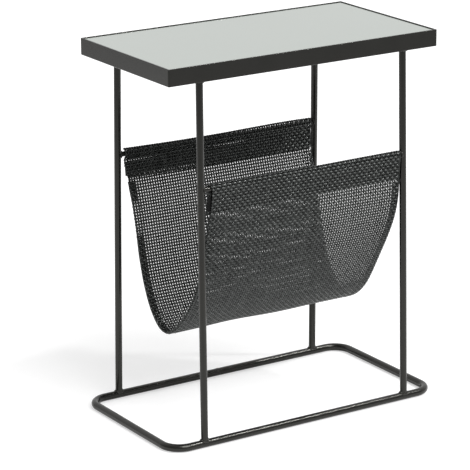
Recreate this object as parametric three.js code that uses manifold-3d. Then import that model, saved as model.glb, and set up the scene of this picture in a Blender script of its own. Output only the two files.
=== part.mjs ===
// Side table with an inset glass top and a hanging mesh magazine sling.
// Millimetres, +Z up. Origin: centre of the foot loop on the floor.
// +X to the right along the long side, -Y to the front.
import * as THREE from "three";
import { mergeVertices } from "three/addons/utils/BufferGeometryUtils.js";
import Module from "manifold-3d";

const { lerp } = THREE.MathUtils;

// ---------- driving dimensions ----------
// A bar's radius is half the distance across its flats.
const TABLE_H = 590; // floor to lip
const TOP_L = 480; // tray, outside, along X
const TOP_W = 256; // tray, outside, along Y
const RIM_H = 26; // height of the steel angle
const RIM_T = 3; // wall of the steel angle
const FLANGE_W = 20; // inward flange of the steel angle, wall included
const MITRE_GAP = 0.1;

const FOOT_R = 6; // foot loop bar
const FOOT_X = 241; // centreline half-lengths of the loop
const FOOT_Y = 128;
const FOOT_BEND = 30; // centreline radius of the loop's corners

const LEG_R = 5.5;
const LEG_TOP = [182, 117.7]; // [x, y], near the middle of the flange
const LEG_FOOT = [185.3, FOOT_Y]; // [x, y], on the foot loop: the legs splay a little

const ROD_R = 4; // cross rods of the sling
const ROD_Z = 400;
const ROD_X = 183; // where the legs are at that height
const ROD_Y = 120.7;

const BOARD_T = 16;
const BOARD_CLEAR = 0.5; // to the rim's inner face
const BUMPER_R = 5;
const BUMPER_T = 1.7;
const BUMPER_INSET = 25; // from the tray's outer faces
const GLASS_T = 4;
const GLASS_CLEAR = 0.7; // to the rim's inner face
const GLASS_ARRIS = 0.6;
const FIT_GAP = 0.05; // between stacked parts

const SCREW_HEAD_R = 3.6;
const SCREW_HEAD_T = 2.2;
const SCREW_R = 1.7;
const SCREW_LEN = 13; // under the head
const SCREW_INSET = 11.6; // from the tray's outer faces
const SCREW_X = 150; // screws in the front and back rims

// heights of the tray's layers
const RIM_Z = TABLE_H - RIM_H; // underside of the tray
const BOARD_Z = RIM_Z + RIM_T + FIT_GAP;
const BUMPER_Z = BOARD_Z + BOARD_T + FIT_GAP;
const GLASS_Z = BUMPER_Z + BUMPER_T + FIT_GAP;

// facets round each kind of bar
const LEG_SIDES = 24;
const FOOT_SIDES = 20;
const ROD_SIDES = 20;
const BUMPER_SIDES = 16;
const WELD_SIDES = 16;
const SCREW_SIDES = 12;

// [name, direction along the axis]
const FRONT_BACK = [["front", -1], ["back", 1]];
const LEFT_RIGHT = [["left", -1], ["right", 1]];

// ---------- materials ----------
const steel = () =>
  new THREE.MeshStandardMaterial({ color: 0x1d1d1c, roughness: 0.55, metalness: 0.3 });
const glass = () =>
  new THREE.MeshStandardMaterial({ color: 0xb4b9b3, roughness: 0.12, metalness: 0 });
const board = () =>
  new THREE.MeshStandardMaterial({ color: 0x2a2928, roughness: 0.8, metalness: 0 });
const clearPlastic = () =>
  new THREE.MeshStandardMaterial({ color: 0xdfe4e2, roughness: 0.3, metalness: 0 });
const zinc = () =>
  new THREE.MeshStandardMaterial({ color: 0x3a3a3c, roughness: 0.4, metalness: 0.9 });
const clothMesh = () =>
  new THREE.MeshStandardMaterial({ color: 0x171717, roughness: 0.65, metalness: 0 });
const tape = () =>
  new THREE.MeshStandardMaterial({ color: 0x0a0a0a, roughness: 0.95, metalness: 0 });

// ---------- groups ----------
const table = new THREE.Group();
const frame = new THREE.Group();
const sling = new THREE.Group();
table.add(frame, sling);

function place(parent, name, geometry, material, x = 0, y = 0, z = 0) {
  const mesh = new THREE.Mesh(geometry, material);
  mesh.name = name;
  mesh.position.set(x, y, z);
  parent.add(mesh);
}

// ---------- solids ----------
const manifold = await Module();
manifold.setup();

function solid(geometry) {
  const bare = geometry.clone();
  bare.deleteAttribute("normal");
  bare.deleteAttribute("uv");
  const merged = mergeVertices(bare, 1e-4);
  return new manifold.Manifold(
    new manifold.Mesh({
      numProp: 3,
      vertProperties: new Float32Array(merged.attributes.position.array),
      triVerts: new Uint32Array(merged.index.array),
    }),
  );
}

function indexedGeometry(positions, index) {
  const geometry = new THREE.BufferGeometry();
  geometry.setAttribute("position", new THREE.Float32BufferAttribute(positions, 3));
  geometry.setIndex(index);
  geometry.computeVertexNormals();
  return geometry;
}

function geometryOf(body) {
  const mesh = body.getMesh();
  const index = new THREE.BufferAttribute(new Uint32Array(mesh.triVerts), 1);
  return indexedGeometry(mesh.vertProperties, index);
}

// Radius at the corners of a polygon whose flats are at the given radius.
const cornerRadius = (radius, sides) => radius / Math.cos(Math.PI / sides);

const vectors = (points) => points.map(([x, y]) => new THREE.Vector2(x, y));

function closedShape(points) {
  const shape = new THREE.Shape(vectors(points));
  shape.closePath();
  return shape;
}

// A round bar along Z, between two heights. Its facets face the axes.
function bar(radius, z0, z1, sides) {
  const corner = cornerRadius(radius, sides);
  const geometry = new THREE.CylinderGeometry(corner, corner, z1 - z0, sides);
  geometry.rotateX(Math.PI / 2);
  geometry.rotateZ(Math.PI / sides);
  return geometry.translate(0, 0, (z0 + z1) / 2);
}

function barAlongX(radius, x0, x1, y, z, sides) {
  return bar(radius, x0, x1, sides)
    .rotateY(Math.PI / 2)
    .translate(0, y, z);
}

// A ring turned about Z from an [r, z] profile that runs round it and closes.
function ring(profile, sides) {
  const points = vectors(profile.map(([r, z]) => [cornerRadius(r, sides), z]));
  if (THREE.ShapeUtils.area(points) < 0) points.reverse();
  points.push(points[0].clone());
  const geometry = new THREE.LatheGeometry(points, sides);
  geometry.rotateX(Math.PI / 2);
  return geometry.rotateZ(Math.PI / sides);
}

function box(x0, x1, y0, y1, z0, z1) {
  const geometry = new THREE.BoxGeometry(x1 - x0, y1 - y0, z1 - z0);
  return geometry.translate((x0 + x1) / 2, (y0 + y1) / 2, (z0 + z1) / 2);
}

// ---------- screw places and holes ----------
const SCREW_Y = TOP_W / 2 - SCREW_INSET;
const SCREW_END_X = TOP_L / 2 - SCREW_INSET;
const SCREWS = [
  { name: "left_front", rim: "front", x: -SCREW_X, y: -SCREW_Y },
  { name: "left_back", rim: "back", x: -SCREW_X, y: SCREW_Y },
  { name: "right_front", rim: "front", x: SCREW_X, y: -SCREW_Y },
  { name: "right_back", rim: "back", x: SCREW_X, y: SCREW_Y },
  { name: "left_end", rim: "left", x: -SCREW_END_X, y: 0 },
  { name: "right_end", rim: "right", x: SCREW_END_X, y: 0 },
];

function drill(body, screws, radius, z0, z1) {
  const hole = ({ x, y }) => solid(bar(radius, z0, z1, SCREW_SIDES).translate(x, y, 0));
  return screws.reduce((drilled, screw) => drilled.subtract(hole(screw)), body);
}

// ---------- tray rim: steel angle, mitred ----------
const RIM_HOLE_CLEAR = 0.4; // radial, round the screw

// One length, its outer face on y = 0, inward +y, its ends raked to 45 degrees.
function angleBar(length) {
  const section = closedShape([ // [distance inward, height]
    [0, 0],
    [FLANGE_W, 0],
    [FLANGE_W, RIM_T],
    [RIM_T, RIM_T],
    [RIM_T, RIM_H],
    [0, RIM_H],
  ]);
  const options = { depth: 1, steps: 1, bevelEnabled: false };
  const geometry = new THREE.ExtrudeGeometry(section, options);
  const position = geometry.attributes.position;
  for (let i = 0; i < position.count; i++) {
    const inward = position.getX(i);
    const up = position.getY(i);
    const end = position.getZ(i) > 0.5 ? 1 : -1;
    position.setXYZ(i, end * (length / 2 - inward - MITRE_GAP), inward, up);
  }
  return geometry;
}

// offset is from the table's centre to the bar's outer face.
function addRimBar(name, length, offset, turn) {
  const angle = angleBar(length).translate(0, -offset, RIM_Z).rotateZ(turn);
  const screws = SCREWS.filter((screw) => screw.rim === name);
  const radius = SCREW_R + RIM_HOLE_CLEAR;
  const body = drill(solid(angle), screws, radius, RIM_Z - 1, RIM_Z + RIM_T + 1);
  place(frame, "rim_" + name, geometryOf(body), steel());
}

addRimBar("front", TOP_L, TOP_W / 2, 0);
addRimBar("back", TOP_L, TOP_W / 2, Math.PI);
addRimBar("right", TOP_W, TOP_L / 2, Math.PI / 2);
addRimBar("left", TOP_W, TOP_L / 2, -Math.PI / 2);

// ---------- backing board, bumpers, glass ----------
const BOARD_HOLE_CLEAR = 0.1; // radial, round the screw
const BOARD_HOLE_SPARE = 0.6; // beyond the screw's point

// Half-lengths of a panel that lies inside the rim with a clearance all round.
const insideRim = (clear) => [TOP_L / 2 - RIM_T - clear, TOP_W / 2 - RIM_T - clear];

function addBackingBoard() {
  const [halfX, halfY] = insideRim(BOARD_CLEAR);
  const blank = solid(box(-halfX, halfX, -halfY, halfY, BOARD_Z, BOARD_Z + BOARD_T));
  const holeTop = RIM_Z + SCREW_LEN + BOARD_HOLE_SPARE;
  const body = drill(blank, SCREWS, SCREW_R + BOARD_HOLE_CLEAR, BOARD_Z - 1, holeTop);
  place(frame, "backing_board", geometryOf(body), board());
}

function addBumpers() {
  const outerX = TOP_L / 2 - BUMPER_INSET;
  const outerY = TOP_W / 2 - BUMPER_INSET;
  for (const [column, x] of [["left", -outerX], ["middle", 0], ["right", outerX]])
    for (const [row, signY] of FRONT_BACK) {
      const name = `glass_bumper_${column}_${row}`;
      const bumper = bar(BUMPER_R, 0, BUMPER_T, BUMPER_SIDES);
      place(frame, name, bumper, clearPlastic(), x, signY * outerY, BUMPER_Z);
    }
}

function addGlass() {
  const [halfX, halfY] = insideRim(GLASS_CLEAR).map((half) => half - GLASS_ARRIS);
  const outline = closedShape([
    [-halfX, -halfY],
    [halfX, -halfY],
    [halfX, halfY],
    [-halfX, halfY],
  ]);
  const geometry = new THREE.ExtrudeGeometry(outline, {
    depth: GLASS_T - 2 * GLASS_ARRIS,
    bevelEnabled: true,
    bevelThickness: GLASS_ARRIS,
    bevelSize: GLASS_ARRIS,
    bevelSegments: 1,
  });
  geometry.translate(0, 0, GLASS_Z + GLASS_ARRIS);
  place(table, "glass_top", geometry, glass());
}

addBackingBoard();
addBumpers();
addGlass();

// ---------- screws up through the flange ----------
const SCREW_POINT = 2.5; // length of the pointed end
const RECESS = { reach: 1.9, halfWidth: 0.4, depth: 1.1 }; // cross recess in the head

function screwGeometry() {
  const profile = [ // [r, z] from the underside of the flange
    [0, -SCREW_HEAD_T],
    [SCREW_HEAD_R * 0.62, -SCREW_HEAD_T],
    [SCREW_HEAD_R * 0.9, -SCREW_HEAD_T * 0.72],
    [SCREW_HEAD_R, -SCREW_HEAD_T * 0.3],
    [SCREW_HEAD_R, -FIT_GAP],
    [SCREW_R, -FIT_GAP],
    [SCREW_R, SCREW_LEN - SCREW_POINT],
    [0, SCREW_LEN],
  ];
  let body = solid(new THREE.LatheGeometry(vectors(profile), SCREW_SIDES).rotateX(Math.PI / 2));
  const { reach, halfWidth, depth } = RECESS;
  for (const [x, y] of [[reach, halfWidth], [halfWidth, reach]]) {
    const slot = box(-x, x, -y, y, -SCREW_HEAD_T - 1, -SCREW_HEAD_T + depth);
    body = body.subtract(solid(slot));
  }
  return geometryOf(body);
}

for (const { name, x, y } of SCREWS)
  place(frame, "board_screw_" + name, screwGeometry(), zinc(), x, y, RIM_Z);

// ---------- foot loop: one bent bar, its ends butted at the middle of the back ----------
const FOOT_JOINT_GAP = 0.1; // from the middle to each end of the bar
const FOOT_BEND_STEPS = 9;

// Stations are given one by one, with their directions,
// so that the bends are fine and the straights are not.
class BentBar extends THREE.Curve {
  constructor(stations) {
    super();
    this.stations = stations;
  }
  stationAt(u) {
    return this.stations[Math.round(u * (this.stations.length - 1))];
  }
  getPointAt(u, target = new THREE.Vector3()) {
    return target.copy(this.stationAt(u).point);
  }
  getTangentAt(u, target = new THREE.Vector3()) {
    return target.copy(this.stationAt(u).direction);
  }
}

function footStations() {
  const station = (x, y, heading) => ({
    point: new THREE.Vector3(x, y, FOOT_R),
    direction: new THREE.Vector3(Math.cos(heading), Math.sin(heading), 0),
  });
  const stations = [station(-FOOT_JOINT_GAP, FOOT_Y, Math.PI)];
  // from the back left corner round by the front to the back right
  [[-1, 1], [-1, -1], [1, -1], [1, 1]].forEach(([signX, signY], corner) => {
    const centreX = signX * (FOOT_X - FOOT_BEND);
    const centreY = signY * (FOOT_Y - FOOT_BEND);
    for (let i = 0; i <= FOOT_BEND_STEPS; i++) {
      const heading = Math.PI + (corner + i / FOOT_BEND_STEPS) * (Math.PI / 2);
      const x = centreX + FOOT_BEND * Math.sin(heading);
      const y = centreY - FOOT_BEND * Math.cos(heading);
      stations.push(station(x, y, heading));
    }
  });
  stations.push(station(FOOT_JOINT_GAP, FOOT_Y, Math.PI));
  return stations;
}

function addFootLoop() {
  const corner = cornerRadius(FOOT_R, FOOT_SIDES);
  const section = [];
  for (let i = 0; i < FOOT_SIDES; i++) {
    const angle = ((i + 0.5) / FOOT_SIDES) * 2 * Math.PI;
    section.push([corner * Math.cos(angle), corner * Math.sin(angle)]);
  }
  const stations = footStations();
  const geometry = new THREE.ExtrudeGeometry(closedShape(section), {
    steps: stations.length - 1,
    extrudePath: new BentBar(stations),
    bevelEnabled: false,
  });
  place(frame, "foot_loop", geometry, steel());
}

addFootLoop();

// ---------- legs, coped over the foot loop, and their weld beads ----------
const COPE_CLEAR = 0.1; // between a bar's end and the bar it meets
const WELD_CLEAR = 0.08; // between a weld bead and the bars it joins
const LEG_RISE = RIM_Z - FOOT_R;
const LEG_LEN = Math.hypot(LEG_TOP[0] - LEG_FOOT[0], LEG_TOP[1] - LEG_FOOT[1], LEG_RISE);

// Weld profiles: [out from the bead's inner face, along the leg]
const TOP_WELD = [ // along from the tray's underside
  [0, -4.2], [0.5, -3.4], [1.2, -1.9], [2.6, -0.7], [3, 0.3], [3, 2], [0, 2],
];
const FOOT_WELD = [ // along from the top of the foot loop
  [0, -4.5], [3, -4.5], [2.7, 0.2], [1.3, 1.3], [0.5, 2.8], [0, 3.6],
];

// A weld ring about Z, round a bar of the given radius, its profile shifted to start.
const weldRing = (profile, barRadius, start) =>
  ring(profile.map(([out, z]) => [barRadius + WELD_CLEAR + out, start + z]), WELD_SIDES);

// Turns something drawn along Z from the origin so that it runs up a leg
// from the leg's point on the foot loop.
function alongLeg(geometry, signX, signY) {
  const foot = new THREE.Vector3(signX * LEG_FOOT[0], signY * LEG_FOOT[1], FOOT_R);
  const top = new THREE.Vector3(signX * LEG_TOP[0], signY * LEG_TOP[1], RIM_Z);
  const turn = new THREE.Quaternion().setFromUnitVectors(
    new THREE.Vector3(0, 0, 1),
    top.sub(foot).normalize(),
  );
  return geometry.applyQuaternion(turn).translate(foot.x, foot.y, foot.z);
}

function addLeg(name, signX, signY) {
  const footY = signY * FOOT_Y;
  const onLeg = (geometry) => solid(alongLeg(geometry, signX, signY));
  const footCope = (clear) =>
    solid(barAlongX(FOOT_R + clear, -210, 210, footY, FOOT_R, FOOT_SIDES));
  const underTray = solid(box(-300, 300, -200, 200, FOOT_R + 2, RIM_Z - FIT_GAP));

  const leg = onLeg(bar(LEG_R, 0, LEG_LEN + 5, LEG_SIDES))
    .intersect(underTray)
    .subtract(footCope(COPE_CLEAR));
  place(frame, "leg_" + name, geometryOf(leg), steel());

  const topWeld = onLeg(weldRing(TOP_WELD, LEG_R, LEG_LEN)).intersect(underTray);
  place(frame, "leg_top_weld_" + name, geometryOf(topWeld), steel());

  // the foot bead is no wider than the loop's bar
  const overFoot = solid(box(-300, 300, footY - FOOT_R, footY + FOOT_R, 0, 40));
  const footWeld = onLeg(weldRing(FOOT_WELD, LEG_R, FOOT_R))
    .intersect(overFoot)
    .subtract(footCope(WELD_CLEAR));
  place(frame, "leg_foot_weld_" + name, geometryOf(footWeld), steel());
}

for (const [row, signY] of FRONT_BACK)
  for (const [end, signX] of LEFT_RIGHT) addLeg(`${row}_${end}`, signX, signY);

// ---------- cross rods between the legs, and their weld beads ----------
// [out from the bead's inner face, along the rod from the leg's centre]
const ROD_WELD = [
  [0, -7], [0, -1.1], [1.5, -1.1], [1.7, -4.5], [1.2, -6], [0.5, -6.8],
];

function addRod(name, signY) {
  const y = signY * ROD_Y;
  const legCut = (signX) =>
    solid(alongLeg(bar(LEG_R + COPE_CLEAR, 350, 450, LEG_SIDES), signX, signY));
  let rod = solid(barAlongX(ROD_R, -ROD_X, ROD_X, y, ROD_Z, ROD_SIDES));
  for (const [, signX] of LEFT_RIGHT) rod = rod.subtract(legCut(signX));
  place(frame, "sling_rod_" + name, geometryOf(rod), steel());

  for (const [end, signX] of LEFT_RIGHT) {
    const bead = weldRing(ROD_WELD, ROD_R, ROD_X).rotateY(Math.PI / 2);
    if (signX < 0) bead.rotateZ(Math.PI);
    bead.translate(0, y, ROD_Z);
    const weld = solid(bead).subtract(legCut(signX));
    place(frame, `rod_weld_${name}_${end}`, geometryOf(weld), steel());
  }
}

for (const [name, signY] of FRONT_BACK) addRod(name, signY);

// ---------- sling: one sheet, wrapped over each rod and folded back inside the pocket ----------
const CLOTH_T = 1.4;
const CLOTH_X0 = -166; // the sling hangs a little right of centre between the legs
const CLOTH_X1 = 174.5;
const STRIP_COLUMNS = 6;

const SLEEVE_R = 5.2; // centreline radius of the cloth round a cross rod
const SLEEVE_START = -0.35; // radians: 0 is level with the rod on its inner side
const SLEEVE_END = Math.PI + 0.25;
const SLEEVE_STEPS = 13;
const OUTER_TOP_Y = ROD_Y + SLEEVE_R * 0.99; // where the outer layer is aimed
const OUTER_TOP_Z = ROD_Z - 1.5;

const TAPE_T = 1;
const TAPE_GAP = 0.28; // between a tape and the layer it is sewn to
const TAPE_INSET = 1.5; // each end, from the cloth's side edge
const TAPE_ROWS = [364.2, 370, 378, 386.5]; // heights where the cloth and its tapes bend

const FLAP_END_Z = 359.5; // lower edge of the folded-over flap
const FLAP_TOP_Z = 391.5; // last point of the flap under the rod
const FLAP_TOP_SPREAD = 1.2; // the layers stand this much further apart there
const FLAP_OFFSET = CLOTH_T + 2 * TAPE_T + 3 * TAPE_GAP; // between centrelines, across the layers
const SLOPE_STRETCH = 1.03; // Y distance for each millimetre across the sloping layers
const HOOK_TAPE_POINT = 2; // the sleeve point whose shift the hook tape takes

// How far the folded-over cloth lies off the sheet's side edges: [sleeve point, shift along X].
// Points run from the flap's lower edge (0) over the top of the rod (12.5)
// to where it meets the outer layer (19).
const FLAP_SHIFT = {
  front: { left: [[0, -6.8], [12.5, -4.5], [19, 0]], right: [[0, 0], [19, 0]] },
  back: {
    left: [[0, -1.5], [2, -6], [4, -7.5], [12.5, -8], [19, 0]],
    right: [[0, 0.8], [12.5, 0.8], [19, 0]],
  },
};

// The hanging sheet between the two sleeves, [y, z], front to back, at its left and right
// side edges: the stiff mesh bellies out more at the front right.
const SLING_LEFT = [
  [-119.1, 360.1], [-115.1, 343.9], [-111.1, 327.7], [-107.0, 311.5], [-102.7, 295.3],
  [-98.0, 279.3], [-92.6, 263.5], [-86.5, 248.0], [-79.5, 232.8], [-71.7, 218.1],
  [-63.0, 203.9], [-53.3, 190.3], [-42.8, 177.3], [-31.3, 165.2], [-18.9, 154.1],
  [-5.3, 144.4], [9.8, 137.5], [26.2, 139.1], [40.6, 147.4], [52.5, 159.1],
  [62.2, 172.6], [70.4, 187.2], [77.3, 202.4], [83.0, 218.1], [87.8, 234.1],
  [92.1, 250.2], [96.0, 266.4], [99.9, 282.6], [103.9, 298.9], [108.0, 315.0],
  [112.3, 331.2], [117.1, 347.2], [122.2, 363.0],
];
const SLING_RIGHT = [
  [-122.7, 362.0], [-122.7, 345.2], [-120.7, 328.4], [-116.9, 312.0], [-111.5, 296.0],
  [-104.8, 280.6], [-97.1, 265.5], [-88.9, 250.8], [-80.4, 236.3], [-71.8, 221.8],
  [-63.3, 207.2], [-54.7, 192.7], [-45.3, 178.7], [-34.7, 165.6], [-22.5, 154.0],
  [-8.6, 144.5], [7.0, 138.2], [23.6, 139.0], [38.4, 146.9], [51.0, 158.0],
  [61.6, 171.2], [70.2, 185.6], [77.1, 201.0], [82.7, 216.9], [87.5, 233.1],
  [91.7, 249.4], [95.7, 265.8], [99.7, 282.2], [103.8, 298.5], [108.0, 314.8],
  [112.4, 331.1], [117.2, 347.3], [122.2, 363.4],
];

// Offsets an open [y, z] line sideways, to its left seen with y to the right and z up.
function offset(line, distance) {
  return line.map(([y, z], i) => {
    const before = line[Math.max(i - 1, 0)];
    const after = line[Math.min(i + 1, line.length - 1)];
    const alongY = after[0] - before[0];
    const alongZ = after[1] - before[1];
    const length = Math.hypot(alongY, alongZ);
    return [y - (distance * alongZ) / length, z + (distance * alongY) / length];
  });
}

// A strip of cloth lofted between a [y, z] line at x0 and another at x1.
// skew gives how far its two ends move along X, point by point.
function strip(line0, line1, thickness, x0, x1, skew = () => [0, 0]) {
  const count = line0.length;
  const positions = [];
  for (let column = 0; column <= STRIP_COLUMNS; column++) {
    const share = column / STRIP_COLUMNS;
    const line = line0.map(([y, z], i) => [
      lerp(y, line1[i][0], share),
      lerp(z, line1[i][1], share),
    ]);
    for (const face of [1, -1])
      offset(line, (face * thickness) / 2).forEach(([y, z], i) => {
        const [skew0, skew1] = skew(i);
        positions.push(lerp(x0 + skew0, x1 + skew1, share), y, z);
      });
  }
  const index = [];
  const quad = (a, b, c, d) => index.push(a, b, c, a, c, d);
  const at = (row, i) => row * count + i; // rows run left face, right face for each column
  const last = 2 * STRIP_COLUMNS;
  for (let i = 0; i < count - 1; i++) {
    quad(at(0, i), at(0, i + 1), at(1, i + 1), at(1, i)); // side edge at x0
    quad(at(last, i + 1), at(last, i), at(last + 1, i), at(last + 1, i + 1)); // at x1
    for (let row = 0; row < last; row += 2) {
      quad(at(row, i + 1), at(row, i), at(row + 2, i), at(row + 2, i + 1)); // left face
      quad(at(row + 1, i), at(row + 1, i + 1), at(row + 3, i + 1), at(row + 3, i)); // right face
    }
  }
  // the edges at the line's first and last points
  const end = count - 1;
  for (let row = 0; row < last; row += 2) {
    quad(at(row, 0), at(row + 1, 0), at(row + 3, 0), at(row + 2, 0));
    quad(at(row + 1, end), at(row, end), at(row + 2, end), at(row + 3, end));
  }
  return indexedGeometry(positions, index);
}

// Y of the outer layer at a height in or just under one sleeve.
function outerLayerY(sheet, signY, z) {
  const [first, second] = signY < 0 ? sheet : [sheet.at(-1), sheet.at(-2)];
  const end = z >= first[1] ? [signY * OUTER_TOP_Y, OUTER_TOP_Z] : second;
  return lerp(first[0], end[0], (z - first[1]) / (end[1] - first[1]));
}

// From the flap's lower edge, up inside the pocket, over the rod, and down to the sheet.
function sleeve(sheet, signY) {
  const inward = -signY * FLAP_OFFSET * SLOPE_STRETCH;
  const layerPoint = (z, shift) => [outerLayerY(sheet, signY, z) + shift, z];
  const line = [FLAP_END_Z, ...TAPE_ROWS].map((z) => layerPoint(z, inward));
  line.push(layerPoint(FLAP_TOP_Z, inward * FLAP_TOP_SPREAD));
  for (let i = 0; i < SLEEVE_STEPS; i++) {
    const angle = lerp(SLEEVE_START, SLEEVE_END, i / (SLEEVE_STEPS - 1));
    const y = signY * (ROD_Y - SLEEVE_R * Math.cos(angle));
    line.push([y, ROD_Z + SLEEVE_R * Math.sin(angle)]);
  }
  for (const z of TAPE_ROWS.toReversed()) line.push(layerPoint(z, 0));
  return line;
}

// Shifts of the left and right side edges at a sleeve point.
function flapShift(name, point) {
  return LEFT_RIGHT.map(([end]) => {
    const stations = FLAP_SHIFT[name][end];
    const next = stations.findIndex(([station]) => point <= station);
    if (next < 0) return 0;
    const [point0, shift0] = stations[Math.max(next - 1, 0)];
    const [point1, shift1] = stations[Math.max(next, 1)];
    return lerp(shift0, shift1, (point - point0) / (point1 - point0));
  });
}

function addCloth() {
  const [left, right] = [SLING_LEFT, SLING_RIGHT].map((sheet) => [
    ...sleeve(sheet, -1),
    ...sheet,
    ...sleeve(sheet, 1).reverse(),
  ]);
  const last = left.length - 1;
  const skew = (i) => (i < last / 2 ? flapShift("front", i) : flapShift("back", last - i));
  const cloth = strip(left, right, CLOTH_T, CLOTH_X0, CLOTH_X1, skew);
  place(sling, "sling_cloth", cloth, clothMesh());
}

// layer counts the tapes inward from the sheet; shift moves the left and right ends along X.
function addTape(name, signY, layer, shift) {
  const across = CLOTH_T / 2 + TAPE_GAP + TAPE_T / 2 + layer * (TAPE_T + TAPE_GAP);
  const [left, right] = [SLING_LEFT, SLING_RIGHT].map((sheet) =>
    TAPE_ROWS.map((z) => [outerLayerY(sheet, signY, z) - signY * across * SLOPE_STRETCH, z]),
  );
  const x0 = CLOTH_X0 + TAPE_INSET + shift[0];
  const x1 = CLOTH_X1 - TAPE_INSET + shift[1];
  place(sling, name, strip(left, right, TAPE_T, x0, x1), tape());
}

addCloth();
for (const [name, signY] of FRONT_BACK) {
  // the loop tape is sewn to the sheet, the hook tape to the flap, and so it is shifted with it
  addTape("loop_tape_" + name, signY, 0, [0, 0]);
  addTape("hook_tape_" + name, signY, 1, flapShift(name, HOOK_TAPE_POINT));
}

export default table;
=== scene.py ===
"""Side table: a steel angle tray with an inset glass top, four splayed legs on a foot loop, and
a woven mesh sling hanging between two rods. The floor is z = 0, the length runs along X (left is
-X) and the front faces -Y. Lengths are millimetres until they reach a mesh, which is in metres;
shaders, lights and the camera are in metres."""

import math

import bmesh
import bpy
import numpy as np
from mathutils import Matrix, Vector


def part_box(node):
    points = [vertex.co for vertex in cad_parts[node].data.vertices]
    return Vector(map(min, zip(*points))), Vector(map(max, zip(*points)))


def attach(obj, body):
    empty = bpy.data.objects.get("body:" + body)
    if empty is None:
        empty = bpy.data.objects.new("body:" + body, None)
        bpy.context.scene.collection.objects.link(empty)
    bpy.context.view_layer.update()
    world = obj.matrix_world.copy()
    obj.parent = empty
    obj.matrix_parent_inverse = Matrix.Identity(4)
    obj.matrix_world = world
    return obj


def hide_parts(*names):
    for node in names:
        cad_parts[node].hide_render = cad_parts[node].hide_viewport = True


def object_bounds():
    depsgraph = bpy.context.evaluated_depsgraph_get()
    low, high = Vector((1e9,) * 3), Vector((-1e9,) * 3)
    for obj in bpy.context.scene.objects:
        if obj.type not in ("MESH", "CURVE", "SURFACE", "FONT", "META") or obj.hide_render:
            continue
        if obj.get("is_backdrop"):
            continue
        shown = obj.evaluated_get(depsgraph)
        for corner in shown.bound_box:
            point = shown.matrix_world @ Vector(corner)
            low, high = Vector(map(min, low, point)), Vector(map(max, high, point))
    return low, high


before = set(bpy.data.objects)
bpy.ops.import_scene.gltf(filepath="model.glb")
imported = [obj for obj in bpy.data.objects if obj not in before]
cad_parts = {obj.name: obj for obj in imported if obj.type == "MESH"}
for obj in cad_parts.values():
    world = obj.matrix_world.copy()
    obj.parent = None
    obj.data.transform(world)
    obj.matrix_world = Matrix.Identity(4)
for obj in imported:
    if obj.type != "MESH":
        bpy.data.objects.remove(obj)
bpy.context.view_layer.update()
MM = 0.001


# ------------------------------------------------------------------ sizes, from the frame
def span(node):
    """Low and high corners of a frame piece's box."""
    low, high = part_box(node)
    return np.array(low) / MM, np.array(high) / MM


rim_low, rim_high = span("rim_front")
HALF_L, HALF_W = rim_high[0], -rim_low[1]
RIM_Z, TABLE_H = rim_low[2], rim_high[2]
RIM_T, FLANGE_W = 3.0, 20.0

LEG_R = 5.5
FOOT_R = 6.0  # the foot loop's bar
LEG_TOP = span("leg_front_left")[1][2]
LEGS = {}  # centre (x, y) on the foot loop and centre (x, y) under the tray: the legs splay
for where in ("front_left", "front_right", "back_left", "back_right"):
    low, high = span("leg_" + where)
    low, high = low[:2] + LEG_R, high[:2] - LEG_R
    negative = np.array(["left" in where, "front" in where])
    LEGS[where] = (np.where(negative, low, high), np.where(negative, high, low))


def leg_at(where, z):
    bottom, top = LEGS[where]
    return bottom + (top - bottom) * (z - FOOT_R) / (LEG_TOP - FOOT_R)


foot_high = span("foot_loop")[1]
FOOT_X, FOOT_Y = foot_high[0] - FOOT_R, foot_high[1] - FOOT_R
FOOT_BEND = 30.0
rod_low, rod_high = span("sling_rod_front")
ROD_R = 4.0
ROD_Z = (rod_low[2] + rod_high[2]) / 2
ROD_Y = abs(rod_low[1] + rod_high[1]) / 2
LEG_X = abs(leg_at("front_left", ROD_Z)[0])


# ------------------------------------------------------------------ mesh helpers
def link(name, data):
    ob = bpy.data.objects.new(name, data)
    bpy.context.scene.collection.objects.link(ob)
    return ob


def mesh_object(name, verts, faces, material, sharp=None):
    """A smooth-shaded object; edges above the sharp angle (degrees) stay crisp."""
    mesh = bpy.data.meshes.new(name)
    mesh.from_pydata([tuple(v) for v in (np.asarray(verts, float) * MM)], [], faces)
    mesh.validate(clean_customdata=False)
    bm = bmesh.new()
    bm.from_mesh(mesh)
    bmesh.ops.recalc_face_normals(bm, faces=bm.faces)
    bm.to_mesh(mesh)
    bm.free()
    mesh.shade_smooth()
    if sharp is not None:
        mesh.set_sharp_from_angle(angle=math.radians(sharp))
    mesh.materials.append(material)
    return link(name, mesh)


def add(ob, body, slot, *nodes):
    """Hide the pieces the object stands for and attach it to its body's empty. The slot is not used.
    """
    if nodes:
        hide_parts(*nodes)
    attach(ob, body)


def skin(stack, closed_path=False):
    """Verts and faces over (stations, points, 3) rings, capped unless the path closes."""
    stack = np.asarray(stack, float)
    stations, sides = stack.shape[:2]
    faces = []
    for i in range(stations if closed_path else stations - 1):
        j = (i + 1) % stations
        for k in range(sides):
            l = (k + 1) % sides
            faces.append((i * sides + k, i * sides + l, j * sides + l, j * sides + k))
    if not closed_path:
        faces.append(tuple(range(sides))[::-1])
        faces.append(tuple((stations - 1) * sides + k for k in range(sides)))
    return stack.reshape(-1, 3), faces


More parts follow.
